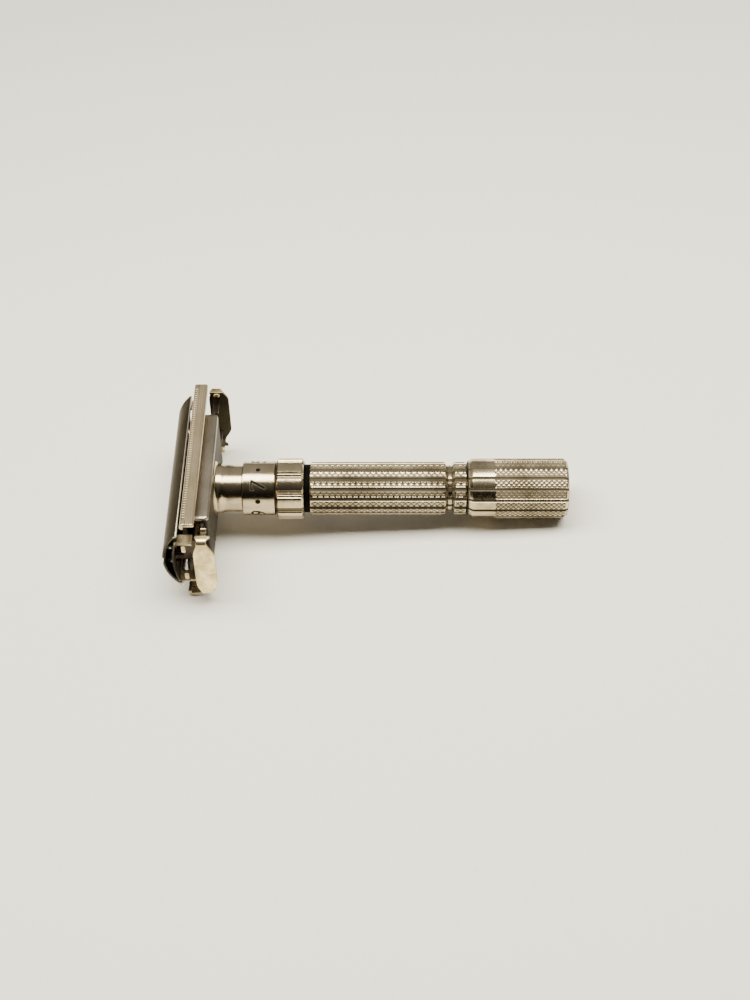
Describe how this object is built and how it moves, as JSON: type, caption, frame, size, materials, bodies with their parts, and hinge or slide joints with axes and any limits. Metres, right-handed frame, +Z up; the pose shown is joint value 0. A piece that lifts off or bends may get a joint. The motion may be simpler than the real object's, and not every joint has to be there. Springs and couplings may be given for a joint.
{
  "type": "safety razor",
  "caption": "Adjustable twist-to-open double-edge safety razor lying on its side: curved doors, guard bars, numbered dial, grooved knurled handle and twist knob.",
  "frame": {"origin": "middle of the base of the razor's box, on the surface that it lies on", "axes": "+X along the handle towards the knob (the handle dips 3.74 degrees towards the knob), +Y along the blade, +Z up, across the blade's width"},
  "size_m": [0.086, 0.0458, 0.0233],
  "materials": {
    "nickel_plate": "aged warm nickel plate, polished with fine handling scratches",
    "worn_nickel": "nickel plate worn thin, with the brass showing through as a pale gold",
    "bare_brass": "turned, unplated",
    "spring_steel": "bright drawn"
  },
  "bodies": {
    "handle": {"handle_barrel": "nickel_plate", "inner_tube": "bare_brass", "knob_retainer": "spring_steel", "thrust_washer": "spring_steel", "neck": "nickel_plate", "detent_ball": "spring_steel", "detent_spring": "spring_steel", "adjuster_spring": "spring_steel", "head_pan": "nickel_plate", "blade_platform": "nickel_plate", "platform_post_far": "bare_brass", "platform_post_near": "bare_brass"},
    "knob": {"knob_shell": "nickel_plate", "knob_end_plug": "nickel_plate", "drive_nut": "bare_brass", "knob_bush": "bare_brass"},
    "dial": {"dial_sleeve": "nickel_plate", "dial_grip_ring": "nickel_plate", "dial_nut": "bare_brass"},
    "guard": {"guard_plate": "nickel_plate", "adjuster_sleeve": "bare_brass", "guard_post_far": "spring_steel", "guard_post_near": "spring_steel"},
    "carriage": {"lift_rod": "spring_steel", "crosshead": "nickel_plate", "crosshead_screw": "spring_steel", "ear_far": "worn_nickel", "ear_near": "worn_nickel", "stanchion_far": "nickel_plate", "stanchion_near": "nickel_plate", "upper_hinge_pin_far": "spring_steel", "upper_hinge_pin_near": "spring_steel", "lower_hinge_pin_far": "spring_steel", "lower_hinge_pin_near": "spring_steel"},
    "upper_door": {"upper_door": "nickel_plate"},
    "lower_door": {"lower_door": "nickel_plate"}
  },
  "joints": [
    {"name": "knob_turn", "type": "hinge", "parent": "handle", "child": "knob", "pos_m": [0.03265, 0, 0.0071], "axis": [0.9979, 0, -0.0652], "range_deg": [0, 450]},
    {"name": "door_lift", "type": "slide", "parent": "handle", "child": "carriage", "axis": [-0.9979, 0, 0.0652], "range_m": [0, 0.00201]},
    {"name": "upper_door_swing", "type": "hinge", "parent": "carriage", "child": "upper_door", "pos_m": [-0.04115, 0, 0.01413], "axis": [0, -1, 0], "range_deg": [0, 85.5]},
    {"name": "lower_door_swing", "type": "hinge", "parent": "carriage", "child": "lower_door", "pos_m": [-0.04144, 0, 0.00974], "axis": [0, 1, 0], "range_deg": [0, 85.5]},
    {"name": "dial_turn", "type": "hinge", "parent": "handle", "child": "dial", "pos_m": [-0.02024, 0, 0.01055], "axis": [-0.9979, 0, 0.0652], "range_deg": [0, 288]},
    {"name": "guard_travel", "type": "slide", "parent": "handle", "child": "guard", "axis": [0.9979, 0, -0.0652], "range_m": [0, 0.00076]}
  ],
  "couplings": [
    {"joint": "door_lift", "follows": "knob_turn", "m_per_rad": 0.00025465},
    {"joint": "upper_door_swing", "follows": "knob_turn", "ratio": 0.18889},
    {"joint": "lower_door_swing", "follows": "knob_turn", "ratio": 0.18889},
    {"joint": "guard_travel", "follows": "dial_turn", "m_per_rad": 0.00014921}
  ]
}
